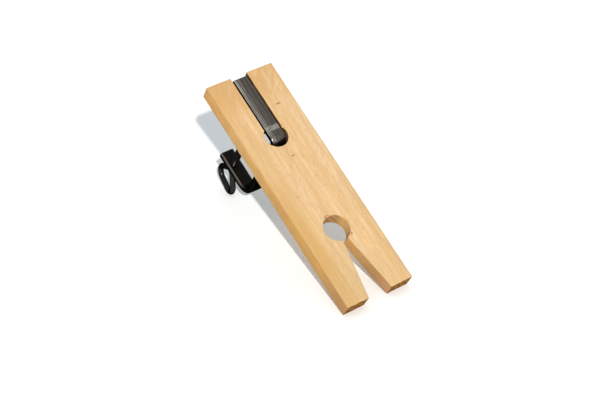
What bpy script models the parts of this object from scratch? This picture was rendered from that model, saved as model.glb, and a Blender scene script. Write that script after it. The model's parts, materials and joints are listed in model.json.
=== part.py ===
"""Jeweller's bench pin: a slotted wooden board held by a clamp bent from flat steel bar.

Everything is first laid out with the board level: x across the board, y from the tips of
the V slot to the back end, z up from the board's underside. The whole assembly then hangs
under one empty that tips it back until it lies on the tips of the board and the handle of
the screw.
"""

import math

import bmesh
import bpy
from mathutils import Matrix, Vector

# Board
BOARD_WIDTH = 0.0572
BOARD_LENGTH = 0.194
BOARD_THICKNESS = 0.012
V_MOUTH_WIDTH = 0.0200
V_NECK_WIDTH = 0.0047
V_HOLE_RADIUS = 0.0102
V_HOLE_X = -0.0011  # the holes and the groove were cut a little left of the middle
V_HOLE_Y = 0.0563
CLAMP_HOLE_RADIUS = 0.0092
CLAMP_HOLE_X = -0.0016
CLAMP_HOLE_Y = 0.1388
GROOVE_WIDTH = 0.0142
GROOVE_X = -0.0006

# Clamp, bent from one length of flat bar
STRAP_WIDTH = 0.0120
STRAP_THICKNESS = 0.0050
STRAP_X = 0.0
STRAP_RECESS = 0.0010  # how far the strap lies below the board's face
STRAP_EDGE = 0.0008
SEAT_GAP = 0.0005
SPINE_Y = 0.1331  # front face of the upright stretch
TOP_BEND_RADIUS = 0.0062  # outsides of the two bends
LOW_BEND_RADIUS = 0.0137
TOP_ARM_END_Y = 0.1919
LOW_ARM_END_Y = 0.1750
THROAT = 0.0695  # board's underside to the lower arm

# Screw with its bent handle, and the pad that swivels on its tip
SCREW_X = -0.0005
SCREW_Y = 0.1633
THREAD_RADIUS = 0.0029
RUNNING_GAP = 0.0003
HANDLE_ROD_RADIUS = 0.00235
HANDLE_TURN = math.radians(-8)  # handle's plane, turned about the screw from the yz plane
HANDLE_HALF_BASE = 0.0170
HANDLE_APEX_DROP = 0.0027  # below the lower arm, to the corner of the unrounded triangle
HANDLE_HEIGHT = 0.0236
HANDLE_BASE_CORNER = 0.0061
HANDLE_APEX_CORNER = 0.0046
PAD_RADIUS = 0.0070
PAD_COLLAR_RADIUS = 0.0046
PAD_HEIGHT = 0.0056
PAD_RIM = 0.0020
BALL_RADIUS = 0.0024
BALL_NECK_RADIUS = 0.0016
SOCKET_MOUTH_RADIUS = 0.0021

STRAP_TOP_Z = BOARD_THICKNESS - STRAP_RECESS
LOW_ARM_BOTTOM_Z = -THROAT - STRAP_THICKNESS
GROOVE_DEPTH = STRAP_RECESS + STRAP_THICKNESS + SEAT_GAP
PAD_TOP_Z = -RUNNING_GAP
HANDLE_BASE_Z = LOW_ARM_BOTTOM_Z - HANDLE_APEX_DROP - HANDLE_HEIGHT

ROUND_STEPS = 48
ROD_STEPS = 16
BEND_STEPS = 10
OVERCUT = 0.004


def handle_corner_offset():
    """Distance from the screw's axis to the centre of a rounded base corner."""
    base_angle = math.atan2(HANDLE_HEIGHT, HANDLE_HALF_BASE)
    return HANDLE_HALF_BASE - HANDLE_BASE_CORNER / math.tan(base_angle / 2)


def resting_tilt():
    """Tilt that puts the board's tips and the handle's front corner on one plane."""
    corner_y = SCREW_Y - handle_corner_offset() * math.cos(HANDLE_TURN)
    corner_drop = -(HANDLE_BASE_Z + HANDLE_BASE_CORNER)
    reach = math.hypot(corner_y, corner_drop)
    corner_outside = HANDLE_BASE_CORNER + HANDLE_ROD_RADIUS
    return math.atan2(corner_drop, corner_y) + math.asin(corner_outside / reach)


TILT = resting_tilt()


def resting_shift():
    """Travel along y that centres the tilted assembly over the origin."""
    corner_y = SCREW_Y + handle_corner_offset() * math.cos(HANDLE_TURN)
    corner_drop = -(HANDLE_BASE_Z + HANDLE_BASE_CORNER)
    corner_outside = HANDLE_BASE_CORNER + HANDLE_ROD_RADIUS
    back = corner_y * math.cos(TILT) + corner_drop * math.sin(TILT) + corner_outside
    front = -BOARD_THICKNESS * math.sin(TILT)
    return -(front + back) / 2


def clear_scene():
    for item in list(bpy.data.objects):
        bpy.data.objects.remove(item, do_unlink=True)


def make_material(name, color, roughness, metallic):
    material = bpy.data.materials.new(name)
    material.use_nodes = True
    shader = material.node_tree.nodes["Principled BSDF"]
    shader.inputs["Base Color"].default_value = (*color, 1)
    shader.inputs["Roughness"].default_value = roughness
    shader.inputs["Metallic"].default_value = metallic
    return material


def add_object(name, mesh, material, parent, location=(0, 0, 0)):
    item = bpy.data.objects.new(name, mesh)
    item.location = location
    item.parent = parent
    if material:
        mesh.materials.append(material)
    bpy.context.collection.objects.link(item)
    return item


def arc(centre, radius, start, end, steps):
    """Points of an arc from one angle to another, both ends included."""
    angles = [start + (end - start) * step / steps for step in range(steps + 1)]
    return [centre + radius * Vector((math.cos(a), math.sin(a))) for a in angles]


def rounded(corners, radii, steps):
    """A closed outline of straight sides whose corners are rounded to the given radii."""
    outline = []
    for index, (corner, radius) in enumerate(zip(corners, radii)):
        if radius == 0:
            outline.append(Vector(corner))
            continue
        corner = Vector(corner)
        back = (Vector(corners[index - 1]) - corner).normalized()
        ahead = (Vector(corners[(index + 1) % len(corners)]) - corner).normalized()
        half = back.angle(ahead) / 2
        centre = corner + (back + ahead).normalized() * radius / math.sin(half)
        start = corner + back * radius / math.tan(half) - centre
        sweep = (math.pi - 2 * half) * (1 if back.cross(ahead) < 0 else -1)
        first = math.atan2(start.y, start.x)
        outline.extend(arc(centre, radius, first, first + sweep, steps))
    return outline


def prism(name, outline, low, high, to_space):
    """A solid drawn from low to high across a flat outline, turned into place by to_space."""
    shape = bmesh.new()
    corners = [shape.verts.new((point.x, point.y, low)) for point in outline]
    base = shape.faces.new(corners)
    raised = bmesh.ops.extrude_face_region(shape, geom=[base])
    moved = [item for item in raised["geom"] if isinstance(item, bmesh.types.BMVert)]
    bmesh.ops.translate(shape, verts=moved, vec=(0, 0, high - low))
    bmesh.ops.transform(shape, matrix=to_space, verts=shape.verts)
    bmesh.ops.recalc_face_normals(shape, faces=shape.faces)
    return finish_mesh(name, shape)


def turned(name, profile, steps):
    """A solid turned about the z axis from (radius, height) points that end on the axis."""
    shape = bmesh.new()
    points = [shape.verts.new((radius, 0, height)) for radius, height in profile]
    edges = [shape.edges.new(pair) for pair in zip(points, points[1:])]
    bmesh.ops.spin(
        shape, geom=points + edges, axis=(0, 0, 1), cent=(0, 0, 0), angle=math.tau, steps=steps
    )
    bmesh.ops.remove_doubles(shape, verts=shape.verts, dist=1e-7)
    bmesh.ops.recalc_face_normals(shape, faces=shape.faces)
    return finish_mesh(name, shape)


def finish_mesh(name, shape):
    mesh = bpy.data.meshes.new(name)
    shape.to_mesh(mesh)
    shape.free()
    mesh.shade_smooth()
    mesh.set_sharp_from_angle(angle=math.radians(35))
    return mesh


def cutter(name, mesh, parent, location=(0, 0, 0)):
    item = add_object(name, mesh, None, parent, location)
    item.hide_render = True
    item.display_type = "WIRE"
    return item


def combine(target, tool, operation):
    modifier = target.modifiers.new(tool.name, "BOOLEAN")
    modifier.operation = operation
    modifier.object = tool


def board_outline():
    """The board from above, with the V slot running into its round hole."""
    hole = Vector((V_HOLE_X, V_HOLE_Y))
    neck_left = math.acos((-V_NECK_WIDTH / 2 - V_HOLE_X) / V_HOLE_RADIUS)
    neck_right = math.acos((V_NECK_WIDTH / 2 - V_HOLE_X) / V_HOLE_RADIUS)
    hole_edge = arc(hole, V_HOLE_RADIUS, math.tau - neck_left, -neck_right, ROUND_STEPS)
    half_width = BOARD_WIDTH / 2
    front_left = [Vector((-half_width, 0)), Vector((-V_MOUTH_WIDTH / 2, 0))]
    front_right = [Vector((V_MOUTH_WIDTH / 2, 0)), Vector((half_width, 0))]
    back = [Vector((half_width, BOARD_LENGTH)), Vector((-half_width, BOARD_LENGTH))]
    return front_left + hole_edge + front_right + back


def make_board(parent):
    wood = make_material("maple", (0.83, 0.56, 0.30), 0.55, 0)
    level = Matrix.Identity(4)
    mesh = prism("pin_board", board_outline(), 0, BOARD_THICKNESS, level)
    board = add_object("pin_board", mesh, wood, parent)
    groove = [
        Vector((GROOVE_X - GROOVE_WIDTH / 2, CLAMP_HOLE_Y)),
        Vector((GROOVE_X + GROOVE_WIDTH / 2, CLAMP_HOLE_Y)),
        Vector((GROOVE_X + GROOVE_WIDTH / 2, BOARD_LENGTH + OVERCUT)),
        Vector((GROOVE_X - GROOVE_WIDTH / 2, BOARD_LENGTH + OVERCUT)),
    ]
    groove_floor = BOARD_THICKNESS - GROOVE_DEPTH
    mesh = prism("groove_cutter", groove, groove_floor, BOARD_THICKNESS + OVERCUT, level)
    combine(board, cutter("groove_cutter", mesh, parent), "DIFFERENCE")
    hole = Vector((CLAMP_HOLE_X, CLAMP_HOLE_Y))
    rim = arc(hole, CLAMP_HOLE_RADIUS, 0, math.tau, ROUND_STEPS)[:-1]
    mesh = prism("clamp_hole_cutter", rim, -OVERCUT, BOARD_THICKNESS + OVERCUT, level)
    combine(board, cutter("clamp_hole_cutter", mesh, parent), "DIFFERENCE")


def clamp_outline():
    """The bent bar from the side, as (y, z) points."""
    spine_back = SPINE_Y + STRAP_THICKNESS
    strap_bottom = STRAP_TOP_Z - STRAP_THICKNESS
    top_inside = TOP_BEND_RADIUS - STRAP_THICKNESS
    low_inside = LOW_BEND_RADIUS - STRAP_THICKNESS
    corners = [
        (TOP_ARM_END_Y, STRAP_TOP_Z),
        (SPINE_Y, STRAP_TOP_Z),
        (SPINE_Y, LOW_ARM_BOTTOM_Z),
        (LOW_ARM_END_Y, LOW_ARM_BOTTOM_Z),
        (LOW_ARM_END_Y, -THROAT),
        (spine_back, -THROAT),
        (spine_back, strap_bottom),
        (TOP_ARM_END_Y, strap_bottom),
    ]
    radii = [0, TOP_BEND_RADIUS, LOW_BEND_RADIUS, 0, 0, low_inside, top_inside, 0]
    return rounded(corners, radii, BEND_STEPS)


def make_clamp(parent):
    steel = make_material("dark_steel", (0.05, 0.045, 0.04), 0.4, 0.9)
    upright = Matrix(((0, 0, 1, 0), (1, 0, 0, 0), (0, 1, 0, 0), (0, 0, 0, 1)))
    half = STRAP_WIDTH / 2
    mesh = prism("clamp_frame", clamp_outline(), STRAP_X - half, STRAP_X + half, upright)
    clamp = add_object("clamp_frame", mesh, steel, parent)
    edges = clamp.modifiers.new("eased_edges", "BEVEL")
    edges.width = STRAP_EDGE
    edges.segments = 2
    edges.limit_method = "ANGLE"
    edges.angle_limit = math.radians(50)
    radius = THREAD_RADIUS + RUNNING_GAP
    rim = arc(Vector((0, 0)), radius, 0, math.tau, ROUND_STEPS)[:-1]
    level = Matrix.Identity(4)
    mesh = prism("tapped_hole_cutter", rim, -OVERCUT, STRAP_THICKNESS + OVERCUT, level)
    place = (SCREW_X, SCREW_Y, LOW_ARM_BOTTOM_Z)
    combine(clamp, cutter("tapped_hole_cutter", mesh, parent, place), "DIFFERENCE")


def ball_centre_z():
    return PAD_TOP_Z - PAD_RIM - BALL_RADIUS


def screw_profile(origin_z):
    """The turned part of the screw: ball, neck, and thread down into the handle."""
    centre = ball_centre_z() - origin_z
    neck_angle = math.asin(BALL_NECK_RADIUS / BALL_RADIUS)
    ball = arc(Vector((0, centre)), BALL_RADIUS, math.pi / 2, neck_angle - math.pi / 2, 8)
    shoulder = PAD_TOP_Z - PAD_HEIGHT - RUNNING_GAP - origin_z
    foot = LOW_ARM_BOTTOM_Z - HANDLE_APEX_DROP - HANDLE_APEX_CORNER - origin_z
    profile = [(0, ball[0].y)] + [tuple(point) for point in ball[1:]]
    profile.append((BALL_NECK_RADIUS, shoulder))
    profile.append((THREAD_RADIUS, shoulder))
    profile.append((THREAD_RADIUS, foot + THREAD_RADIUS))
    profile.append((0, foot))
    return profile


def handle_mesh(origin_z):
    """The rod bent to a rounded triangle, lying in its own plane about the screw's axis."""
    apex = LOW_ARM_BOTTOM_Z - HANDLE_APEX_DROP - origin_z
    base = HANDLE_BASE_Z - origin_z
    corners = [(0, apex), (-HANDLE_HALF_BASE, base), (HANDLE_HALF_BASE, base)]
    radii = [HANDLE_APEX_CORNER, HANDLE_BASE_CORNER, HANDLE_BASE_CORNER]
    route = rounded(corners, radii, BEND_STEPS)
    curve = bpy.data.curves.new("handle", "CURVE")
    curve.dimensions = "3D"
    curve.bevel_depth = HANDLE_ROD_RADIUS
    curve.bevel_resolution = ROD_STEPS // 4
    spline = curve.splines.new("POLY")
    spline.points.add(len(route) - 1)
    for point, (across, height) in zip(spline.points, route):
        turn_x = -across * math.sin(HANDLE_TURN)
        turn_y = across * math.cos(HANDLE_TURN)
        point.co = (turn_x, turn_y, height, 1)
    spline.use_cyclic_u = True
    drawn = bpy.data.objects.new("handle_route", curve)
    mesh = bpy.data.meshes.new_from_object(drawn)
    bpy.data.objects.remove(drawn)
    return mesh


def make_screw(parent):
    steel = make_material("screw_steel", (0.06, 0.055, 0.05), 0.35, 0.9)
    origin_z = LOW_ARM_BOTTOM_Z
    place = (SCREW_X, SCREW_Y, origin_z)
    mesh = turned("thumb_screw", screw_profile(origin_z), ROD_STEPS * 2)
    screw = add_object("thumb_screw", mesh, steel, parent, place)
    handle = cutter("handle_rod", handle_mesh(origin_z), parent, place)
    combine(screw, handle, "UNION")


def pad_profile(origin_z):
    """The swivel pad: a flat disc over a collar that holds the screw's ball."""
    cavity = BALL_RADIUS + RUNNING_GAP
    centre = ball_centre_z() - origin_z
    top = PAD_TOP_Z - origin_z
    bottom = top - PAD_HEIGHT
    mouth_angle = math.asin(SOCKET_MOUTH_RADIUS / cavity)
    hollow = arc(Vector((0, centre)), cavity, mouth_angle - math.pi / 2, math.pi / 2, 8)
    profile = [
        (0, top),
        (PAD_RADIUS, top),
        (PAD_RADIUS, top - PAD_RIM),
        (PAD_COLLAR_RADIUS, top - PAD_RIM),
        (PAD_COLLAR_RADIUS, bottom),
        (SOCKET_MOUTH_RADIUS, bottom),
    ]
    return profile + [tuple(point) for point in hollow[:-1]] + [(0, centre + cavity)]


def make_pad(parent):
    steel = make_material("pad_steel", (0.10, 0.09, 0.08), 0.45, 0.9)
    origin_z = PAD_TOP_Z
    mesh = turned("swivel_pad", pad_profile(origin_z), ROD_STEPS * 2)
    add_object("swivel_pad", mesh, steel, parent, (SCREW_X, SCREW_Y, origin_z))


def build():
    clear_scene()
    rest = bpy.data.objects.new("resting_frame", None)
    bpy.context.collection.objects.link(rest)
    rest.rotation_euler = (TILT, 0, 0)
    rest.location = (0, resting_shift(), 0)
    make_board(rest)
    make_clamp(rest)
    make_screw(rest)
    make_pad(rest)


build()
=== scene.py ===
"""The looks of a jeweller's bench pin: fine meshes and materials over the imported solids.

Every piece and every material is laid out in the level frame: x across the board, y from the
tips of the V slot to the back end, z up from the board's underside. LEVEL carries that frame
into the world, where the board leans back on its tips and on the screw's handle.
"""

import json
import math

import bmesh
import bpy
import numpy as np
from mathutils import Matrix, Vector, noise


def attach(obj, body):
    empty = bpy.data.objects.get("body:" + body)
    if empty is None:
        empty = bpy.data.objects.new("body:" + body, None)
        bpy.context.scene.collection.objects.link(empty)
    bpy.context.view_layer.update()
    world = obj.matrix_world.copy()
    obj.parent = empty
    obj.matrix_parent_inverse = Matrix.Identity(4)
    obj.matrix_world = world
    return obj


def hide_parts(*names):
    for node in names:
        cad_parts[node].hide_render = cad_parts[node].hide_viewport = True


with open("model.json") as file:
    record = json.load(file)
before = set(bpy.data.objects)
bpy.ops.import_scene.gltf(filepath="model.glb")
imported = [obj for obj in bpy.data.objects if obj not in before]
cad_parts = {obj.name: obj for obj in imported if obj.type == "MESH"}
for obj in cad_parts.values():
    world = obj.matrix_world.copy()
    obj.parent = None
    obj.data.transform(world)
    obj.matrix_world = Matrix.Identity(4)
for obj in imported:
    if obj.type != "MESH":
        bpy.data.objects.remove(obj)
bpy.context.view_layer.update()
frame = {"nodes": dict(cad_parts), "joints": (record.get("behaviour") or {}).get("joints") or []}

MM = 0.001
NOISE_SEED = 3
TOUCH = 0.05 * MM  # points of the CAD board this near a plane count as on it
TINY = 1e-6

# Camera, as seen from the middle of the object
CAMERA_AZIMUTH = math.radians(-33.09)
CAMERA_ELEVATION = math.radians(33.15)
CAMERA_ROLL = math.radians(-4.54)
CAMERA_DISTANCE = 1.1650
CAMERA_AIM = Vector((-0.0017, -0.0127, 0.0408))
CAMERA_LENS = 96.0

# Light
SUN_AZIMUTH = math.radians(-26)
SUN_ELEVATION = math.radians(35)
SUN_STRENGTH = 3.1
SUN_SPREAD = math.radians(1.3)
SUN_COLOR = (1.0, 0.972, 0.935)
SKY_STRENGTH = 0.64
SKY_COLOR = (0.92, 0.985, 1.02)
FLOOR_HALF = 12.0
FLAG_MARGIN = 4.0 * MM
FLAG_DROP = 2.0 * MM
FLAG_THICKNESS = 0.5 * MM

# Board
BOARD_EDGE = 0.45 * MM
HOLE_STEPS = 96
EDGE_STEP = 1.5 * MM
CUT_OVER = 5 * MM  # how far a cutter reaches past the faces it cuts
WEAR_DEPTH = 0.10 * MM
WEAR_PER_METRE = 220

# Clamp
BAR_CORNER = 0.8 * MM
BAR_INNER_CORNER = 1.7 * MM
BAR_CROWN = 0.14 * MM
TOP_BEND_RADIUS = 6.2 * MM
LOW_BEND_RADIUS = 13.7 * MM
BAR_END_CHAMFER = 0.2 * MM
BAR_STEP = 1.5 * MM
SECTION_STEP = 0.8 * MM
BAR_BEND_STEPS = 18
BAR_WOBBLE = 0.05 * MM
BAR_WOBBLES_PER_METRE = 160
TAP_CLEARANCE = 0.12 * MM
TAP_FLARE = 0.15 * MM
EDGE_TINT = (0.30, 0.30, 0.30)  # keeps the steel dark where it is seen at a grazing angle

# Screw and handle
PITCH = 1.0 * MM
THREAD_DEPTH = 0.58 * MM
THREAD_SIDES = 32
THREAD_RINGS = 8  # to a turn
THREAD_BELOW = 1.6 * MM
SHOULDER_GAP = 0.3 * MM
BALL_RADIUS = 2.38 * MM
NECK_RADIUS = 1.58 * MM
ROD_RADIUS = 2.33 * MM
HANDLE_TURN = math.radians(-8)
HANDLE_HALF_BASE = 17.0 * MM
HANDLE_HEIGHT = 23.6 * MM
HANDLE_APEX_DROP = 2.7 * MM
HANDLE_BASE_CORNER = 6.1 * MM
HANDLE_APEX_CORNER = 4.6 * MM
HANDLE_STEP = 1.0 * MM
HANDLE_BEND_STEPS = 16
SHANK_DROP = 0.9 * MM
FUSE_VOXEL = 0.25 * MM

# Swivel pad
PAD_RIM = 2.0 * MM
PAD_COLLAR = 4.6 * MM
PAD_EASE = 0.35 * MM
PAD_LIP = 0.6 * MM
PAD_HOLLOW = 2.7 * MM
PAD_HOLLOW_DROP = 2.4 * MM  # from the ball's top down to the middle of the hollow
PAD_MOUTH = 2.1 * MM


def joint(name):
    return next(item for item in frame["joints"] if item["name"] == name)


def cad_points(node):
    return np.array([vertex.co for vertex in frame["nodes"][node].data.vertices])


def level_frame():
    """The level frame in the world, from the screw's axis and the board's own corners."""
    across = Vector((1, 0, 0))
    up = Vector(joint("screw_travel")["axis"]).normalized()
    turn = Matrix((across, up.cross(across), up)).transposed()
    points = cad_points("pin_board") @ np.array(turn)
    low, high = points.min(0), points.max(0)
    corner = Vector(((low[0] + high[0]) / 2, low[1], low[2]))
    return Matrix.Translation(turn @ corner) @ turn.to_4x4()


LEVEL = level_frame()


def level_points(node):
    """A CAD node's corners in the level frame."""
    back = np.array(LEVEL.inverted())
    return cad_points(node) @ back[:3, :3].T + back[:3, 3]


def span(values):
    return float(values.min()), float(values.max())


class BoardSize:
    """The board's dimensions, read off its CAD solid."""

    def __init__(self):
        points = level_points("pin_board")
        x, y, z = points.T
        self.half_width = span(x)[1]
        self.length = span(y)[1]
        self.thickness = span(z)[1]
        inner = np.abs(x) < 0.6 * self.half_width
        under = inner & (z < TOUCH)
        front = under & (y < TOUCH)
        self.mouth = span(np.abs(x[front]))[0]
        slot = under & (y > 1 * MM) & (y < self.length / 2)
        left, right = span(x[slot])
        self.saw_hole_radius = (right - left) / 2
        top = span(y[slot])[1]
        self.saw_hole = Vector(((left + right) / 2, top - self.saw_hole_radius))
        neck = slot & (y < span(y[slot])[0] + 0.2 * MM)
        self.neck = span(np.abs(x[neck]))[0]
        bore = under & (y > self.length / 2) & (y < self.length - 1 * MM)
        left, right = span(x[bore])
        low, high = span(y[bore])
        self.clamp_hole_radius = (right - left) / 2
        self.clamp_hole = Vector(((left + right) / 2, (low + high) / 2))
        back = inner & (y > self.length - TOUCH) & (z > 1 * MM)
        self.groove = span(x[back])
        self.groove_floor = span(z[back])[0]


class ClampSize:
    """The bent bar's dimensions, read off its CAD solid."""

    def __init__(self):
        points = level_points("clamp_frame")
        x, y, z = points.T
        self.left, self.right = span(x)
        self.bottom, self.top = span(z)
        self.front = span(y)[0]
        self.top_end = span(y[z > self.bottom / 4])[1]
        low_arm = z < self.bottom / 2
        self.low_end = span(y[low_arm])[1]
        tail = low_arm & (y > self.low_end - 3 * MM)
        self.thickness = span(z[tail])[1] - self.bottom
        self.middle = (self.left + self.right) / 2


class ScrewSize:
    """The screw's place and radius, from its joint and its CAD solid."""

    def __init__(self):
        axis = LEVEL.inverted() @ Vector(joint("screw_turn")["pos_m"])
        self.x, self.y = axis.x, axis.y
        points = level_points("thumb_screw")
        self.top = span(points[:, 2])[1]
        around = np.hypot(points[:, 0] - self.x, points[:, 1] - self.y)
        well_above_handle = points[:, 2] > -20 * MM
        self.radius = float(around[well_above_handle].max())
        pad = level_points("swivel_pad")
        self.pad_bottom, self.pad_top = span(pad[:, 2])
        self.pad_radius = float(np.hypot(pad[:, 0] - self.x, pad[:, 1] - self.y).max())


board_size = BoardSize()
clamp_size = ClampSize()
screw_size = ScrewSize()


# Materials


class Look:
    """One material, laid out in millimetres in the level frame.

    Most methods add a node fed by numbers or sockets and return its output.
    """

    def __init__(self, name):
        self.material = bpy.data.materials.new(name)
        self.material.use_nodes = True
        self.tree = self.material.node_tree
        self.shader = self.tree.nodes["Principled BSDF"]
        coordinates = self.tree.nodes.new("ShaderNodeTexCoord")
        self.normal = self.level(coordinates.outputs["Normal"], Vector((0, 0, 0)))
        place = self.level(coordinates.outputs["Object"], LEVEL.translation)
        self.place = self.vector("SCALE", place, 1 / MM)

    def level(self, source, origin):
        """Turns a place or a direction from the object's own axes into the level frame."""
        node = self.tree.nodes.new("ShaderNodeMapping")
        node.vector_type = "TEXTURE"
        self.feed(node.inputs["Vector"], source)
        self.feed(node.inputs["Location"], origin)
        self.feed(node.inputs["Rotation"], LEVEL.to_euler())
        return node.outputs["Vector"]

    def feed(self, socket, value):
        if isinstance(value, bpy.types.NodeSocket):
            self.tree.links.new(value, socket)
        else:
            socket.default_value = value

    def vector(self, operation, first, second):
        node = self.tree.nodes.new("ShaderNodeVectorMath")
        node.operation = operation
        self.feed(node.inputs[0], first)
        self.feed(node.inputs["Scale" if operation == "SCALE" else 1], second)
        return node.outputs["Value" if operation in ("LENGTH", "DISTANCE") else "Vector"]

    def math(self, operation, first, second=0.0, third=0.0):
        node = self.tree.nodes.new("ShaderNodeMath")
        node.operation = operation
        for socket, value in zip(node.inputs, (first, second, third)):
            self.feed(socket, value)
        return node.outputs[0]

    def parts(self, source):
        node = self.tree.nodes.new("ShaderNodeSeparateXYZ")
        self.feed(node.inputs[0], source)
        return node.outputs[0], node.outputs[1], node.outputs[2]

    def join(self, x, y, z):
        node = self.tree.nodes.new("ShaderNodeCombineXYZ")
        for socket, value in zip(node.inputs, (x, y, z)):
            self.feed(socket, value)
        return node.outputs[0]

    def noise(self, stretch, detail=3.0, rough=0.5, warp=0.0, source=None):
        """Noise from 0 to 1, with stretch in features per millimetre along x, y and z."""
        node = self.tree.nodes.new("ShaderNodeTexNoise")
        scaled = self.vector("MULTIPLY", source or self.place, stretch)
        self.feed(node.inputs["Vector"], scaled)
        node.inputs["Scale"].default_value = 1.0
        node.inputs["Detail"].default_value = detail
        node.inputs["Roughness"].default_value = rough
        node.inputs["Distortion"].default_value = warp
        return node.outputs["Fac"]

    def cells(self, stretch):
        """Distance to the nearest of some scattered points, in cells."""
        node = self.tree.nodes.new("ShaderNodeTexVoronoi")
        self.feed(node.inputs["Vector"], self.vector("MULTIPLY", self.place, stretch))
        node.inputs["Scale"].default_value = 1.0
        node.inputs["Randomness"].default_value = 1.0
        return node.outputs["Distance"]

    def smooth(self, value, low, high, start=0.0, end=1.0):
        node = self.tree.nodes.new("ShaderNodeMapRange")
        node.interpolation_type = "SMOOTHSTEP"
        for socket, number in zip(node.inputs, (value, low, high, start, end)):
            self.feed(socket, number)
        return node.outputs[0]

    def mix(self, share, first, second, blend="MIX"):
        node = self.tree.nodes.new("ShaderNodeMix")
        node.data_type = "RGBA"
        node.blend_type = blend
        self.feed(node.inputs[0], share)
        for socket, color in ((node.inputs[6], first), (node.inputs[7], second)):
            if not isinstance(color, bpy.types.NodeSocket):
                color = (*color, 1)
            self.feed(socket, color)
        return node.outputs[2]

    def bump(self, *layers):
        """Heights given as (socket, millimetres), added up and used as the shader's normal."""
        total = None
        for height, depth in layers:
            layer = self.math("MULTIPLY", height, depth)
            total = layer if total is None else self.math("ADD", total, layer)
        node = self.tree.nodes.new("ShaderNodeBump")
        node.inputs["Distance"].default_value = MM
        self.feed(node.inputs["Height"], total)
        self.tree.links.new(node.outputs[0], self.shader.inputs["Normal"])

    def set(self, **values):
        """Feeds the shader's own sockets, named as in Blender but in small letters with _."""
        for name, value in values.items():
            label = name.replace("_", " ").title().replace("Ior", "IOR")
            self.feed(self.shader.inputs[label], value)


# Small marks in the board's top face: x and y in the level frame, length along the grain and
# width, all in millimetres, then depth of colour
WOOD_MARKS = (
    (14.4, 161.5, 1.5, 4.4, 0.80),
    (1.2, 119.4, 1.3, 3.8, 0.65),
    (7.6, 98.5, 2.2, 0.8, 0.35),
    (9.0, 89.0, 0.9, 5.0, 0.25),
    (-14.0, 89.0, 0.9, 5.0, 0.25),
    (16.5, 47.9, 1.6, 1.4, 0.40),
    (-4.7, 101.0, 3.0, 0.8, 0.20),
    (-3.9, 66.8, 2.2, 4.4, 0.70),
    (6.8, 48.4, 2.8, 1.6, 0.60),
)

# The pith that the growth rings go round, and a ring's width, in millimetres
PITH_BESIDE = 62.0
PITH_BELOW = 48.0
RING_WIDTH = 4.6

# Wood colours
CREAM = (0.682, 0.506, 0.302)
HONEY = (0.602, 0.386, 0.172)
CLOUD = (0.635, 0.418, 0.232)
HEART = (0.50, 0.29, 0.085)
LATE_WOOD = (0.47, 0.27, 0.11)
FIBRE = (0.50, 0.31, 0.14)
DASH = (0.45, 0.265, 0.115)
CURL = (0.52, 0.33, 0.17)
BACK_CORNER = (0.51, 0.292, 0.112)
TIPS = (0.48, 0.32, 0.155)
RAY = (0.36, 0.18, 0.07)
MARK = (0.22, 0.10, 0.04)
# painted shade: a darker, more orange tint for the side faces
SIDE_SHADE_TINT = (1.05, 0.925, 0.625)
# darkening of the side faces towards the tips
TIP_SIDE_DARKENING = (0.78, 0.72, 0.84)
# painted shade: the tips' end faces are coloured darker than their end grain
TIP_END_SHADE_PALE = (0.25, 0.112, 0.020)
TIP_END_SHADE_DARK = (0.165, 0.070, 0.012)
PORE = (0.12, 0.05, 0.02)
END_PALE = (0.46, 0.275, 0.115)
END_DARK = (0.33, 0.180, 0.070)
# part blacking left by the bar, part painted shade in the groove and its hole
STAIN_AND_SHADE = (0.034, 0.016, 0.007)
GRIME = (0.40, 0.22, 0.09)

# Steel colours
BLACKING = (0.016, 0.0148, 0.0136)
HANDLE_BLACKING = (0.036, 0.033, 0.031)
RUBBED_STEEL = (0.45, 0.375, 0.32)
BARE_STEEL = (0.78, 0.68, 0.62)
DULL_SKIN = (0.008, 0.0075, 0.007)
RUST = (0.022, 0.011, 0.007)


class WoodGrain:
    """The fields that the wood's colour, gloss and bump share."""

    def __init__(self, look):
        self.x, self.y, self.z = look.parts(look.place)
        drift = look.noise((0.02, 0.012, 0.02), detail=2)
        self.swell = look.math("MULTIPLY_ADD", drift, 26.0, -13.0)
        beside = look.math("ADD", look.math("ADD", self.x, self.swell), PITH_BESIDE)
        below = look.math("ADD", self.z, PITH_BELOW)
        from_pith = look.vector("LENGTH", look.join(beside, 0.0, below), (0, 0, 0))
        self.ring = look.math("FRACT", look.math("DIVIDE", from_pith, RING_WIDTH))
        darkening = look.smooth(self.ring, 0.35, 0.93)
        self.late_wood = look.math("MULTIPLY", darkening, look.smooth(self.ring, 1.0, 0.95))
        self.fibre = look.noise((1.9, 0.035, 1.9), detail=5, rough=0.62)
        self.dash = look.noise((1.3, 0.16, 1.3), detail=4, rough=0.65)
        self.cloud = look.noise((0.045, 0.014, 0.045), detail=2)
        rays = look.smooth(look.cells((0.55, 0.20, 0.55)), 0.16, 0.05)
        self.fleck = look.math("MULTIPLY", rays, look.smooth(self.cloud, 0.42, 0.60))
        self.pores = look.smooth(look.cells((2.4, 0.3, 2.4)), 0.42, 0.12)


def hole_depth(look, z):
    """0 at the board's top face and 1 just below it."""
    top = board_size.thickness / MM
    return look.smooth(z, top - 0.10, top - 0.35)


def groove_mask(look, grain):
    """1 on the walls and the floor of the groove that holds the bar."""
    left, right = board_size.groove
    middle = (left + right) / 2 / MM
    half = (right - left) / 2 / MM
    reach = look.math("ABSOLUTE", look.math("SUBTRACT", grain.x, middle))
    across = look.smooth(reach, half + 0.15, half + 0.05)
    along = look.math("GREATER_THAN", grain.y, board_size.clamp_hole.y / MM)
    inside = look.math("MULTIPLY", across, along)
    return look.math("MULTIPLY", inside, hole_depth(look, grain.z))


def clamp_hole_mask(look, grain):
    """1 on the wall of the hole that the bar passes through."""
    centre = board_size.clamp_hole / MM
    radius = board_size.clamp_hole_radius / MM
    flat = look.join(grain.x, grain.y, 0.0)
    reach = look.vector("DISTANCE", flat, (centre.x, centre.y, 0.0))
    inside = look.smooth(reach, radius + 0.15, radius + 0.05)
    return look.math("MULTIPLY", inside, hole_depth(look, grain.z))


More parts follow.
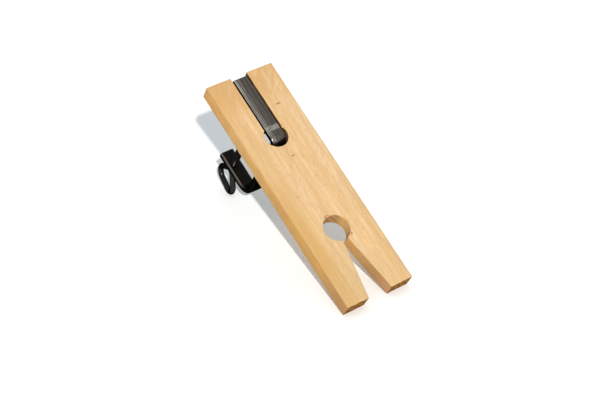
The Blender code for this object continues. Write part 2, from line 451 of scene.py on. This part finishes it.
def plain_wood(look, grain):
    """Streaks, clouds, the honey-coloured band along the left edge, rings and fibres."""
    streak = look.noise((0.28, 0.008, 0.28), detail=3, rough=0.55)
    color = look.mix(look.smooth(streak, 0.38, 0.66), CREAM, HONEY)
    cloudy = look.math("MULTIPLY", look.smooth(grain.cloud, 0.40, 0.68), 0.45)
    color = look.mix(cloudy, color, CLOUD)
    bent_x = look.math("MULTIPLY_ADD", grain.swell, 0.4, grain.x)
    fade = look.smooth(grain.y, 130.0, 85.0, 0.50, 0.85)
    heart = look.math("MULTIPLY", look.smooth(bent_x, -12.0, -24.0), fade)
    vein = look.noise((0.50, 0.012, 0.50), detail=4, rough=0.65)
    heart = look.math("MULTIPLY", heart, look.smooth(vein, 0.34, 0.62, 0.55, 1.18))
    color = look.mix(heart, color, HEART)
    color = look.mix(look.math("MULTIPLY", grain.late_wood, 0.22), color, LATE_WOOD)
    color = look.mix(look.smooth(grain.fibre, 0.33, 0.69, 0.0, 0.46), color, FIBRE)
    return look.mix(look.smooth(grain.dash, 0.49, 0.70, 0.0, 0.62), color, DASH)


def figured_wood(look, grain, color):
    """Adds the curled figure, the darker back corner, the darker tips and the ray flecks."""
    across = look.math("MULTIPLY_ADD", grain.y, -0.55, grain.x)
    along = look.math("MULTIPLY_ADD", grain.x, 0.55, grain.y)
    slanted = look.join(across, along, grain.z)
    curl = look.noise((0.42, 0.10, 0.3), detail=4, rough=0.6, warp=0.6, source=slanted)
    color = look.mix(look.smooth(curl, 0.38, 0.62, 0.0, 0.26), color, CURL)
    back = look.smooth(grain.y, 158.0, 180.0)
    back = look.math("MULTIPLY", back, look.smooth(curl, 0.32, 0.58, 0.15, 0.95))
    color = look.mix(look.math("MULTIPLY", back, 0.75), color, BACK_CORNER)
    tips = look.math("MULTIPLY", look.smooth(grain.y, 45.0, 14.0), 0.35)
    color = look.mix(tips, color, TIPS)
    return look.mix(look.math("MULTIPLY", grain.fleck, 0.35), color, RAY)


def marked_wood(look, grain, color):
    """Adds the small marks in the top face."""
    ragged = look.math("MULTIPLY_ADD", look.noise((1.4, 1.4, 1.4), detail=2), 1.6, -0.8)
    near_top = look.smooth(grain.z, 9.0, 11.0)
    for mark_x, mark_y, long, wide, depth in WOOD_MARKS:
        off_x = look.math("DIVIDE", look.math("SUBTRACT", grain.x, mark_x), wide / 2)
        off_y = look.math("DIVIDE", look.math("SUBTRACT", grain.y, mark_y), long / 2)
        reach = look.vector("LENGTH", look.join(off_x, off_y, 0.0), (0, 0, 0))
        spot = look.smooth(look.math("ADD", reach, ragged), 1.5, 0.2, 0.0, depth)
        color = look.mix(look.math("MULTIPLY", spot, near_top), color, MARK)
    return color


def end_grain(look, grain):
    """The colour of the end grain: dark brown at the tips, where painted shade darkens it, and
    paler elsewhere.
    """
    ring = look.smooth(grain.ring, 0.2, 0.9)
    # painted shade: the tips' end faces are darkened
    tip = look.mix(ring, TIP_END_SHADE_PALE, TIP_END_SHADE_DARK)
    tip = look.mix(look.math("MULTIPLY", grain.pores, 0.4), tip, PORE)
    return look.mix(look.smooth(grain.y, 15.0, 45.0), tip, look.mix(ring, END_PALE, END_DARK))


def stained_and_shaded_wood(look, grain, color):
    """Adds darkening in the groove and hole that the bar runs in, part blacking left by the bar
    and part painted shade, and grime on the edges.
    """
    # painted shade and blacking in the recessed groove and the bar's hole
    stain_and_shade = look.math("MAXIMUM", groove_mask(look, grain), clamp_hole_mask(look, grain))
    stain_shade_patches = look.smooth(look.noise((0.4, 0.15, 0.4), detail=3), 0.25, 0.6, 0.7, 0.95)
    color = look.mix(look.math("MULTIPLY", stain_and_shade, stain_shade_patches), color, STAIN_AND_SHADE)
    half = board_size.half_width / MM
    rim = look.smooth(look.math("ABSOLUTE", grain.x), half - 0.9, half - 0.1)
    grime = look.smooth(look.noise((0.5, 0.09, 0.5), detail=4), 0.40, 0.66)
    worn = look.math("MULTIPLY", look.math("MULTIPLY", rim, grime), 0.45)
    return look.mix(worn, color, GRIME)


def wood_look():
    """Pale close-grained wood: growth rings about a far pith, fibres, rays and a few marks."""
    look = Look("board_wood")
    grain = WoodGrain(look)
    color = plain_wood(look, grain)
    color = figured_wood(look, grain, color)
    color = marked_wood(look, grain, color)
    face_x, face_y, _ = look.parts(look.normal)
    # painted shade: the side faces are tinted darker and more orange than the top face
    side = look.smooth(look.math("ABSOLUTE", face_x), 0.55, 0.95)
    color = look.mix(look.math("MULTIPLY", side, 0.85), color, SIDE_SHADE_TINT, "MULTIPLY")
    # the side faces get darker towards the tips
    tip_side_darkening = look.math("MULTIPLY", side, look.smooth(grain.y, 42.0, 8.0))
    color = look.mix(tip_side_darkening, color, TIP_SIDE_DARKENING, "MULTIPLY")
    end = look.smooth(look.math("ABSOLUTE", face_y), 0.35, 0.85)
    color = look.mix(end, color, end_grain(look, grain))
    color = stained_and_shaded_wood(look, grain, color)

    planing = look.math("ADD", grain.y, grain.swell)
    planing = look.math("SINE", look.math("MULTIPLY", planing, 2.1))
    look.bump(
        (grain.fibre, 0.035),
        (grain.dash, 0.030),
        (grain.late_wood, 0.012),
        (grain.fleck, -0.03),
        (planing, 0.002),
        (grain.pores, -0.01),
    )
    gloss = look.smooth(grain.fibre, 0.2, 0.8, 0.62, 0.48)
    look.set(base_color=color, roughness=look.math("MULTIPLY_ADD", end, 0.35, gloss))
    look.set(specular_ior_level=0.07)
    return look.material


def steel_streak(look, z):
    """Drawn streaks along the bar: upright on the spine and the screw, level elsewhere."""
    upright = look.smooth(z, 5.0, -2.0)
    upright = look.math("MULTIPLY", upright, look.smooth(z, -70.0, -62.0))
    level_streak = look.noise((2.6, 0.030, 2.6), detail=5, rough=0.65)
    upright_streak = look.noise((2.6, 2.6, 0.030), detail=5, rough=0.65)
    difference = look.math("SUBTRACT", upright_streak, level_streak)
    return look.math("MULTIPLY_ADD", difference, upright, level_streak)


def long_corner(look, face_x):
    """1 on the bar's long corners, ragged along their length."""
    slant = look.math("SQRT", look.math("SUBTRACT", 1.0, look.math("MULTIPLY", face_x, face_x)))
    corner = look.smooth(look.math("MULTIPLY", face_x, slant), 0.12, 0.45)
    corner = look.math("MULTIPLY", corner, look.smooth(face_x, 0.96, 0.84))
    rubbed = look.noise((0.5, 0.12, 0.12), detail=3)
    return look.math("MULTIPLY", corner, look.smooth(rubbed, 0.25, 0.55, 0.65, 1.0))


def steel_wear(look, worn_zone, streak):
    """How far the blacking is rubbed off, from 0 to about 1."""
    x, y, z = look.parts(look.place)
    zone, spread, corner_wear = worn_zone(look, x, y, z, streak)
    patch = look.noise((0.12, 0.07, 0.12), detail=3)
    wear = look.smooth(patch, 0.40, 0.65, 0.0, 0.35)
    wear = look.math("MULTIPLY", look.smooth(streak, 0.50, 0.75), wear)
    face_x = look.math("ABSOLUTE", look.parts(look.normal)[0])
    zone = look.math("MULTIPLY", zone, look.smooth(face_x, 0.80, 0.50))
    wear = look.math("MAXIMUM", look.math("MULTIPLY", wear, spread), zone)
    edge = look.math("MULTIPLY", long_corner(look, face_x), corner_wear)
    return look.math("MAXIMUM", wear, edge)


def clamp_wear(look, x, y, z, streak):
    """Where the bar's blacking is rubbed off: its top run, most of all a band before the bend.
    Across the top run the wear also fades from left to right as painted shade.

    Like plain_wear, it returns the worn zone, how much the streaks wear elsewhere, and how
    much the long corners do.
    """
    top = look.smooth(z, 4.0, 8.0)
    # painted shade: the top run's wear fades from the left edge to the right, standing in for
    # light across its crown
    fade = look.smooth(x, -5.6, 0.2, 0.68, 0.34)
    line = look.noise((1.5, 0.018, 1.5), detail=4, rough=0.7)
    worn = look.math("MULTIPLY", fade, look.smooth(line, 0.34, 0.66, 0.40, 1.60))
    worn = look.math("MULTIPLY", worn, look.smooth(streak, 0.30, 0.70, 0.8, 1.2))
    band = look.math("MULTIPLY", look.smooth(y, 142.5, 144.5), look.smooth(y, 149.0, 147.6))
    scratch = look.noise((0.35, 3.2, 0.35), detail=4, rough=0.7)
    scratched = look.math("MULTIPLY", band, look.smooth(scratch, 0.34, 0.62, 0.45, 0.92))
    worn = look.math("MAXIMUM", worn, scratched)
    arm_edge = look.math("MULTIPLY", look.smooth(z, -72.6, -71.0), look.smooth(z, -60.0, -66.0))
    arm_edge = look.math("MULTIPLY", arm_edge, look.smooth(y, 139.0, 147.0))
    top_edge = look.math("MULTIPLY", top, look.smooth(y, 131.0, 144.0, 0.45, 1.0))
    corner_wear = look.math("MAXIMUM", top_edge, look.math("MULTIPLY", arm_edge, 0.42))
    return look.math("MULTIPLY", worn, top), look.smooth(z, -20.0, 5.0, 0.06, 1.0), corner_wear


def plain_wear(look, x, y, z, streak):
    """A few bright streaks only."""
    return look.smooth(streak, 0.62, 0.82, 0.0, 0.2), 0.15, 0.0


def steel_look(name, worn_zone=plain_wear, gloss=0.30, black=BLACKING):
    """Blackened steel: drawn streaks, a mottled skin, and corners and chosen zones worn bright;
    the clamp's chosen zone also carries painted shade.
    """
    look = Look(name)
    streak = steel_streak(look, look.parts(look.place)[2])
    wear = steel_wear(look, worn_zone, streak)
    skin = look.noise((0.9, 0.9, 0.9), detail=6, rough=0.7)
    rust = look.noise((0.33, 0.33, 0.33), detail=5, rough=0.7)
    color = look.mix(wear, black, RUBBED_STEEL)
    color = look.mix(look.smooth(wear, 0.60, 1.0), color, BARE_STEEL)
    color = look.mix(look.smooth(skin, 0.58, 0.75, 0.0, 0.6), color, DULL_SKIN)
    color = look.mix(look.smooth(rust, 0.62, 0.74, 0.0, 0.25), color, RUST)
    rough = look.math("MULTIPLY_ADD", look.math("SUBTRACT", skin, wear), 0.12, gloss)
    look.bump((streak, 0.025), (skin, 0.020))
    look.set(base_color=color, roughness=rough, metallic=1.0)
    look.set(specular_tint=(*EDGE_TINT, 1))
    return look.material


def floor_look():
    look = Look("floor_white")
    grain = look.noise((0.02, 0.02, 0.02), detail=3)
    color = look.mix(grain, (0.970, 0.972, 0.975), (0.980, 0.982, 0.985))
    look.set(base_color=color, roughness=0.6, specular_ior_level=0.1)
    return look.material


# Mesh tools


def arc(centre, radius, start, end, steps):
    """Points of an arc from one angle to another, both ends included."""
    angles = [start + (end - start) * step / steps for step in range(steps + 1)]
    return [centre + radius * Vector((math.cos(a), math.sin(a))) for a in angles]


def straight(start, end, step=EDGE_STEP):
    """Evenly spaced points from start towards end, which is left out."""
    count = max(1, round((end - start).length / step))
    return [start.lerp(end, index / count) for index in range(count)]


def rounded_path(corners, radii, step, bend_steps, closed):
    """Points along a line through the corners, each rounded to its radius."""
    path = []
    count = len(corners)
    for index, (corner, radius) in enumerate(zip(corners, radii)):
        if radius == 0:
            path.append([corner])
            continue
        back = (corners[index - 1] - corner).normalized()
        ahead = (corners[(index + 1) % count] - corner).normalized()
        half = back.angle(ahead) / 2
        centre = corner + (back + ahead).normalized() * radius / math.sin(half)
        start = corner + back * radius / math.tan(half) - centre
        sweep = (math.pi - 2 * half) * (1 if back.cross(ahead) < 0 else -1)
        first = math.atan2(start.y, start.x)
        path.append(arc(centre, radius, first, first + sweep, bend_steps))
    points = []
    for index, bend in enumerate(path):
        points.extend(bend)
        following = path[(index + 1) % count]
        if closed or index < count - 1:
            points.extend(straight(bend[-1], following[0], step)[1:])
    return points


def mesh_of(name, shape):
    mesh = bpy.data.meshes.new(name)
    shape.to_mesh(mesh)
    shape.free()
    return mesh


def prism(name, outline, low, high):
    """An upright solid between two heights."""
    shape = bmesh.new()
    base = shape.faces.new([shape.verts.new((point.x, point.y, low)) for point in outline])
    raised = bmesh.ops.extrude_face_region(shape, geom=[base])
    moved = [item for item in raised["geom"] if isinstance(item, bmesh.types.BMVert)]
    bmesh.ops.translate(shape, verts=moved, vec=(0, 0, high - low))
    bmesh.ops.recalc_face_normals(shape, faces=shape.faces)
    return mesh_of(name, shape)


def lofted(name, rings, cyclic=False):
    """A closed skin over rings of equally many points, capped at both ends unless cyclic."""
    shape = bmesh.new()
    rows = [[shape.verts.new(point) for point in ring] for ring in rings]
    pairs = list(zip(rows, rows[1:]))
    if cyclic:
        pairs.append((rows[-1], rows[0]))
    for first, second in pairs:
        for index in range(len(first)):
            after = (index + 1) % len(first)
            shape.faces.new((first[index], first[after], second[after], second[index]))
    if not cyclic:
        shape.faces.new(rows[0])
        shape.faces.new(rows[-1])
    bmesh.ops.recalc_face_normals(shape, faces=shape.faces)
    return mesh_of(name, shape)


def turned(name, profile, steps):
    """A solid turned about the z axis from (radius, height) points that end on the axis."""
    shape = bmesh.new()
    points = [shape.verts.new((radius, 0, height)) for radius, height in profile]
    edges = [shape.edges.new(pair) for pair in zip(points, points[1:])]
    bmesh.ops.spin(
        shape, geom=points + edges, axis=(0, 0, 1), cent=(0, 0, 0), angle=math.tau, steps=steps
    )
    bmesh.ops.remove_doubles(shape, verts=shape.verts, dist=1e-7)
    bmesh.ops.recalc_face_normals(shape, faces=shape.faces)
    return mesh_of(name, shape)


def new_object(name, mesh):
    item = bpy.data.objects.new(name, mesh)
    bpy.context.scene.collection.objects.link(item)
    return item


def bake_modifiers(item):
    """Replaces the object's mesh by what its modifiers make of it."""
    graph = bpy.context.evaluated_depsgraph_get()
    mesh = bpy.data.meshes.new_from_object(item.evaluated_get(graph))
    item.modifiers.clear()
    item.data = mesh


def boolean(item, tool_mesh, operation="DIFFERENCE"):
    tool = new_object("tool", tool_mesh)
    modifier = item.modifiers.new("cut", "BOOLEAN")
    modifier.operation = operation
    modifier.object = tool
    bake_modifiers(item)
    bpy.data.objects.remove(tool)


def soften_shading(mesh, angle):
    mesh.shade_smooth()
    mesh.set_sharp_from_angle(angle=angle)


def finish_piece(item, body, slot, material, *nodes):
    """Puts a piece made in the level frame in place on its body."""
    item.data.materials.clear()
    item.data.materials.append(material)
    item.data.transform(LEVEL)
    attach(item, body)
    if nodes:
        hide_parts(*nodes)
    return item


# Board


def board_outline():
    size = board_size
    hole, radius = size.saw_hole, size.saw_hole_radius
    left = math.acos((-size.neck - hole.x) / radius)
    right = math.acos((size.neck - hole.x) / radius)
    rim = arc(hole, radius, math.tau - left, -right, HOLE_STEPS)
    corners = [
        Vector((-size.half_width, 0)),
        Vector((-size.mouth, 0)),
        *rim,
        Vector((size.mouth, 0)),
        Vector((size.half_width, 0)),
        Vector((size.half_width, size.length)),
        Vector((-size.half_width, size.length)),
    ]
    outline = []
    for start, end in zip(corners, corners[1:] + corners[:1]):
        outline.extend(straight(start, end))
    return outline


def chip(centre, size, seed):
    """A small ragged lump that bites a splinter out of an edge."""
    shape = bmesh.new()
    bmesh.ops.create_icosphere(shape, subdivisions=3, radius=1)
    for vertex in shape.verts:
        swell = 1 + 0.35 * noise.noise(vertex.co * 1.7 + Vector((seed, 0, 0)))
        vertex.co = Vector(centre) + Vector(vertex.co[i] * size[i] for i in range(3)) * swell
    return mesh_of("chip", shape)


# Splinters lost from the rims of the holes: place and half sizes in millimetres, and seed
CHIPS = (
    ((-3.1, 66.4, 12.25), (2.3, 1.7, 1.4), 1),
    ((-5.6, 65.4, 12.2), (1.1, 0.9, 0.6), 2),
    ((6.1, 48.8, 12.2), (1.3, 2.1, 1.2), 3),
    ((7.0, 143.2, 12.2), (1.3, 2.0, 1.2), 4),
    ((-8.2, 146.2, 12.3), (0.9, 1.3, 0.7), 5),
)


def wear_edges(mesh):
    """Moves corners by a slow noise, each only within the flat faces that it lies on."""
    size = board_size
    count = len(mesh.vertices)
    co = np.zeros(count * 3)
    mesh.vertices.foreach_get("co", co)
    co = co.reshape(-1, 3)
    waves = [noise.noise_vector(Vector(point) * WEAR_PER_METRE) for point in co]
    shift = np.array(waves) * WEAR_DEPTH
    lows = (-size.half_width, 0.0, 0.0)
    highs = (size.half_width, size.length, size.thickness)
    for axis in range(3):
        on_face = (co[:, axis] < lows[axis] + TINY) | (co[:, axis] > highs[axis] - TINY)
        shift[on_face, axis] = 0
    mesh.vertices.foreach_set("co", np.clip(co + shift, lows, highs).ravel())
    mesh.update()


def make_board():
    size = board_size
    blank = prism("pin_board_fine", board_outline(), 0, size.thickness)
    item = new_object("pin_board_fine", blank)
    left, right = size.groove
    groove = [
        Vector((left, size.clamp_hole.y)),
        Vector((right, size.clamp_hole.y)),
        Vector((right, size.length + CUT_OVER)),
        Vector((left, size.length + CUT_OVER)),
    ]
    boolean(item, prism("groove", groove, size.groove_floor, size.thickness + CUT_OVER))
    rim = arc(size.clamp_hole, size.clamp_hole_radius, 0, math.tau, HOLE_STEPS)[:-1]
    boolean(item, prism("clamp_hole", rim, -CUT_OVER, size.thickness + CUT_OVER))
    edges = item.modifiers.new("edges", "BEVEL")
    edges.width = BOARD_EDGE
    edges.segments = 3
    edges.limit_method = "ANGLE"
    edges.angle_limit = math.radians(40)
    edges.use_clamp_overlap = False
    bake_modifiers(item)
    wear_edges(item.data)
    for centre, half, seed in CHIPS:
        place = [value * MM for value in centre]
        boolean(item, chip(place, [value * MM for value in half], seed))
    soften_shading(item.data, math.radians(28))
    finish_piece(item, "frame", "board_wood", wood_look(), "pin_board")


# Clamp


def bar_section():
    """The bar's slightly crowned section about its middle, rounded most on the bends' inside."""
    half = (clamp_size.right - clamp_size.left) / 2
    deep = clamp_size.thickness / 2
    points = []
    for side_x, side_z, start in ((1, 1, 0), (-1, 1, 90), (-1, -1, 180), (1, -1, 270)):
        corner = BAR_CORNER if side_z > 0 else BAR_INNER_CORNER
        centre = Vector((side_x * (half - corner), side_z * (deep - corner)))
        begin = math.radians(start)
        points.extend(arc(centre, corner, begin, begin + math.pi / 2, 8))
    section = []
    for start, end in zip(points, points[1:] + points[:1]):
        section.extend(straight(start, end, SECTION_STEP))
    for point in section:
        crown = BAR_CROWN * (point.x / half) ** 2
        point.y -= math.copysign(crown, point.y)
    return section


def bar_path():
    """The bar's outer face from its top end round both bends to its low end, in y and z."""
    size = clamp_size
    corners = [
        Vector((size.top_end, size.top)),
        Vector((size.front, size.top)),
        Vector((size.front, size.bottom)),
        Vector((size.low_end, size.bottom)),
    ]
    radii = [0, TOP_BEND_RADIUS, LOW_BEND_RADIUS, 0]
    path = rounded_path(corners, radii, BAR_STEP, BAR_BEND_STEPS, closed=False)
    path.insert(1, path[0].lerp(path[1], BAR_END_CHAMFER / (path[1] - path[0]).length))
    path.insert(-1, path[-1].lerp(path[-2], BAR_END_CHAMFER / (path[-1] - path[-2]).length))
    return path


def bar_rings():
    """The section repeated along the path, a little smaller at both ends."""
    size = clamp_size
    path = bar_path()
    section = bar_section()
    half, deep = (size.right - size.left) / 2, size.thickness / 2
    rings = []
    last = len(path) - 1
    for index, point in enumerate(path):
        behind, ahead = path[max(index - 1, 0)], path[min(index + 1, last)]
        run = (ahead - behind).normalized()
        inward = Vector((-run.y, run.x))
        inset = BAR_END_CHAMFER if index in (0, last) else 0
        ring = []
        for across, out in section:
            across *= 1 - inset / half
            spot = point + inward * (deep - out * (1 - inset / deep))
            ring.append(Vector((size.middle + across, spot.x, spot.y)))
        rings.append(ring)
    return rings


def tap_bore():
    """The cutter for the tapped hole, flared where it leaves the lower arm's faces."""
    face = clamp_size.thickness / 2
    radius = screw_size.radius + TAP_CLEARANCE
    flare = radius + TAP_FLARE
    reach, wide = face + 1 * MM, flare + 1 * MM
    profile = [(0, reach), (wide, reach), (flare, face), (radius, face - TAP_FLARE)]
    profile += [(radius, TAP_FLARE - face), (flare, -face), (wide, -reach), (0, -reach)]
    tool = turned("bore", profile, 64)
    middle = clamp_size.bottom + face
    tool.transform(Matrix.Translation((screw_size.x, screw_size.y, middle)))
    return tool


def make_clamp():
    item = new_object("clamp_frame_fine", lofted("clamp_frame_fine", bar_rings()))
    for vertex in item.data.vertices:
        vertex.co += noise.noise_vector(vertex.co * BAR_WOBBLES_PER_METRE) * BAR_WOBBLE
    boolean(item, tap_bore())
    soften_shading(item.data, math.radians(32))
    material = steel_look("clamp_steel", clamp_wear)
    finish_piece(item, "frame", "clamp_steel", material, "clamp_frame")


# Screw, handle and pad


def clamped(value):
    return min(1.0, max(0.0, value))


def thread_mesh(low, high, radius):
    """A thread as rings that climb one pitch a turn, cut off square at both ends."""
    root = radius - THREAD_DEPTH
    levels = round((high - low) / PITCH * THREAD_RINGS) + THREAD_RINGS
    shape = bmesh.new()
    rows = []
    for level in range(-THREAD_RINGS, levels):
        phase = (level % THREAD_RINGS) / THREAD_RINGS
        crest = clamped(1.25 - 3.1 * abs(phase - 0.5))
        row = []
        for side in range(THREAD_SIDES):
            turn = side / THREAD_SIDES
            height = low + (level / THREAD_RINGS + turn) * PITCH
            fade = min(clamped((height - low) / PITCH), clamped((high - height) / PITCH))
            reach = root + (radius - root) * crest * fade
            angle = math.tau * turn
            height = min(max(height, low), high)
            place = (reach * math.cos(angle), reach * math.sin(angle), height)
            row.append(shape.verts.new(place))
        rows.append(row)
    for first, second in zip(rows, rows[1:]):
        for side in range(THREAD_SIDES - 1):
            shape.faces.new((first[side], first[side + 1], second[side + 1], second[side]))
    for index in range(len(rows) - THREAD_RINGS - 1):
        lower, upper = rows[index + THREAD_RINGS], rows[index + THREAD_RINGS + 1]
        shape.faces.new((rows[index][-1], lower[0], upper[0], rows[index + 1][-1]))
    bmesh.ops.remove_doubles(shape, verts=shape.verts, dist=TINY)
    bmesh.ops.dissolve_degenerate(shape, dist=TINY, edges=shape.edges)
    bmesh.ops.holes_fill(shape, edges=shape.edges, sides=0)
    bmesh.ops.recalc_face_normals(shape, faces=shape.faces)
    return mesh_of("screw_thread", shape)


def make_screw():
    """The threaded rod up to its shoulder, and the ball on a neck that the pad snaps over."""
    size = screw_size
    to_axis = Matrix.Translation((size.x, size.y, 0))
    shoulder = size.pad_bottom - SHOULDER_GAP
    mesh = thread_mesh(clamp_size.bottom - THREAD_BELOW, shoulder, size.radius)
    mesh.transform(to_axis)
    item = new_object("screw_thread", mesh)
    soften_shading(item.data, math.radians(50))
    material = steel_look("thread_steel", gloss=0.16)
    finish_piece(item, "screw", "screw_steel", material, "thumb_screw")

    centre = Vector((0, size.top - BALL_RADIUS))
    start = math.asin(NECK_RADIUS / BALL_RADIUS) - math.pi / 2
    ball = [tuple(p) for p in arc(centre, BALL_RADIUS, start, math.pi / 2, 20)]
    root = shoulder - 1 * MM
    profile = [(0, root), (NECK_RADIUS, root)] + ball[:-1] + [(0, size.top)]
    mesh = turned("screw_ball", profile[::-1], 48)
    mesh.transform(to_axis)
    item = new_object("screw_ball", mesh)
    soften_shading(mesh, math.radians(40))
    finish_piece(item, "screw", "screw_steel", material)


def loop_rings(points, normal, radius, sides=28):
    """Rings of a round rod along a closed loop that lies in the plane across normal."""
    count = len(points)
    rings = []
    for index, point in enumerate(points):
        run = (points[(index + 1) % count] - points[index - 1]).normalized()
        other = run.cross(normal)
        ring = []
        for step in range(sides):
            angle = math.tau * step / sides
            ring.append(point + (normal * math.cos(angle) + other * math.sin(angle)) * radius)
        rings.append(ring)
    return rings


def handle_loop(centre, apex):
    """The triangular loop's rings, hanging from its apex below the lower arm."""
    base = apex - HANDLE_HEIGHT
    left, right = Vector((-HANDLE_HALF_BASE, base)), Vector((HANDLE_HALF_BASE, base))
    radii = [HANDLE_APEX_CORNER, HANDLE_BASE_CORNER, HANDLE_BASE_CORNER]
    corners = [Vector((0, apex)), left, right]
    flat = rounded_path(corners, radii, HANDLE_STEP, HANDLE_BEND_STEPS, closed=True)
    along = Vector((-math.sin(HANDLE_TURN), math.cos(HANDLE_TURN), 0))
    loop = [centre + along * point.x + Vector((0, 0, point.y)) for point in flat]
    return loop_rings(loop, along.cross(Vector((0, 0, 1))), ROD_RADIUS)


def shank_mesh(centre, foot):
    """The rod between the loop's apex and the thread."""
    top, ease = clamp_size.bottom - SHANK_DROP, 0.3 * MM
    profile = [(0, top), (ROD_RADIUS - ease, top), (ROD_RADIUS, top - ease)]
    profile += [(ROD_RADIUS, foot + 1 * MM), (0, foot)]
    mesh = turned("shank", profile, 40)
    mesh.transform(Matrix.Translation(centre))
    return mesh


def make_handle():
    """The loop and its shank, fused into one rod that runs smoothly from one into the other."""
    centre = Vector((screw_size.x, screw_size.y, 0))
    apex = clamp_size.bottom - HANDLE_APEX_DROP
    loop = lofted("screw_handle", handle_loop(centre, apex), cyclic=True)
    item = new_object("screw_handle", loop)
    boolean(item, shank_mesh(centre, apex - HANDLE_APEX_CORNER), "UNION")
    fuse = item.modifiers.new("fuse", "REMESH")
    fuse.mode = "VOXEL"
    fuse.voxel_size = FUSE_VOXEL
    settle = item.modifiers.new("settle", "SMOOTH")
    settle.factor = 0.5
    settle.iterations = 8
    bake_modifiers(item)
    soften_shading(item.data, math.radians(60))
    material = steel_look("handle_steel", gloss=0.18, black=HANDLE_BLACKING)
    finish_piece(item, "screw", "screw_steel", material)


def pad_profile():
    """The pad's outline from the middle of its top, round its rim and collar, into its socket."""
    top, bottom = screw_size.pad_top, screw_size.pad_bottom
    radius = screw_size.pad_radius
    ring_drop, collar_ease = 0.12 * MM, 0.3 * MM
    outer, under = radius - PAD_EASE, top - PAD_RIM
    quarter = math.pi / 2
    profile = [(0, top), (radius * 0.35, top), (radius * 0.38, top - ring_drop)]
    profile += [(radius * 0.42, top - ring_drop), (radius * 0.45, top)]
    profile += arc(Vector((outer, top - PAD_EASE)), PAD_EASE, quarter, 0, 5)
    profile += arc(Vector((outer, under + PAD_EASE)), PAD_EASE, 0, -quarter, 5)
    profile += [(PAD_COLLAR + collar_ease, under), (PAD_COLLAR, under - collar_ease)]
    profile += arc(Vector((PAD_COLLAR - PAD_LIP, bottom + PAD_LIP)), PAD_LIP, 0, -quarter, 6)
    profile += [(PAD_MOUTH, bottom)]
    middle = screw_size.top - PAD_HOLLOW_DROP
    start = math.asin(PAD_MOUTH / PAD_HOLLOW) - quarter
    profile += arc(Vector((0, middle)), PAD_HOLLOW, start, quarter, 16)[:-1]
    return profile + [(0, middle + PAD_HOLLOW)]


def make_pad():
    mesh = turned("swivel_pad_fine", pad_profile(), 64)
    mesh.transform(Matrix.Translation((screw_size.x, screw_size.y, 0)))
    item = new_object("swivel_pad_fine", mesh)
    soften_shading(mesh, math.radians(35))
    finish_piece(item, "pad", "pad_steel", steel_look("pad_steel"), "swivel_pad")


# Floor, light and camera


def make_floor():
    mesh = bpy.data.meshes.new("floor")
    half = FLOOR_HALF
    corners = [(-half, -half, 0), (half, -half, 0), (half, half, 0), (-half, half, 0)]
    mesh.from_pydata(corners, [], [(0, 1, 2, 3)])
    mesh.materials.append(floor_look())
    floor = new_object("floor", mesh)
    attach(floor, "pad")  # so the floor makes way for the screw as it opens


def make_flag():
    """A card, unseen, that keeps the key light off the floor under the saw hole."""
    reach = board_size.saw_hole_radius + FLAG_MARGIN
    rim = arc(board_size.saw_hole, reach, 0, math.tau, HOLE_STEPS)[:-1]
    mesh = prism("light_flag", rim, -FLAG_DROP, FLAG_THICKNESS - FLAG_DROP)
    card = new_object("light_flag", mesh)
    card.data.transform(LEVEL)
    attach(card, "frame")
    card.visible_camera = False
    card.visible_diffuse = False
    card.visible_glossy = False
    card.visible_transmission = False


def direction(azimuth, elevation):
    """Unit vector from the object towards a point at that azimuth and elevation."""
    flat = math.cos(elevation)
    return Vector((math.sin(azimuth) * flat, -math.cos(azimuth) * flat, math.sin(elevation)))


def make_light():
    sun = bpy.data.lights.new("key", "SUN")
    sun.energy = SUN_STRENGTH
    sun.angle = SUN_SPREAD
    sun.color = SUN_COLOR
    lamp = bpy.data.objects.new("key", sun)
    lamp.rotation_mode = "QUATERNION"
    lamp.rotation_quaternion = direction(SUN_AZIMUTH, SUN_ELEVATION).to_track_quat("Z", "Y")
    bpy.context.scene.collection.objects.link(lamp)
    world = bpy.data.worlds.new("studio")
    world.use_nodes = True
    sky = world.node_tree.nodes["Background"]
    sky.inputs["Color"].default_value = (*SKY_COLOR, 1)
    sky.inputs["Strength"].default_value = SKY_STRENGTH
    bpy.context.scene.world = world


def make_camera():
    lens = bpy.data.cameras.new("camera")
    lens.lens = CAMERA_LENS
    camera = bpy.data.objects.new("camera", lens)
    outward = direction(CAMERA_AZIMUTH, CAMERA_ELEVATION)
    aim = outward.to_track_quat("Z", "Y").to_matrix()
    turn = aim @ Matrix.Rotation(CAMERA_ROLL, 3, "Z")
    place = Matrix.Translation(CAMERA_AIM + outward * CAMERA_DISTANCE)
    camera.matrix_world = place @ turn.to_4x4()
    bpy.context.scene.collection.objects.link(camera)
    bpy.context.scene.camera = camera


noise.seed_set(NOISE_SEED)
make_board()
make_clamp()
make_screw()
make_handle()
make_pad()
make_floor()
make_flag()
make_light()
make_camera()
bpy.context.scene.view_settings.view_transform = "Standard"
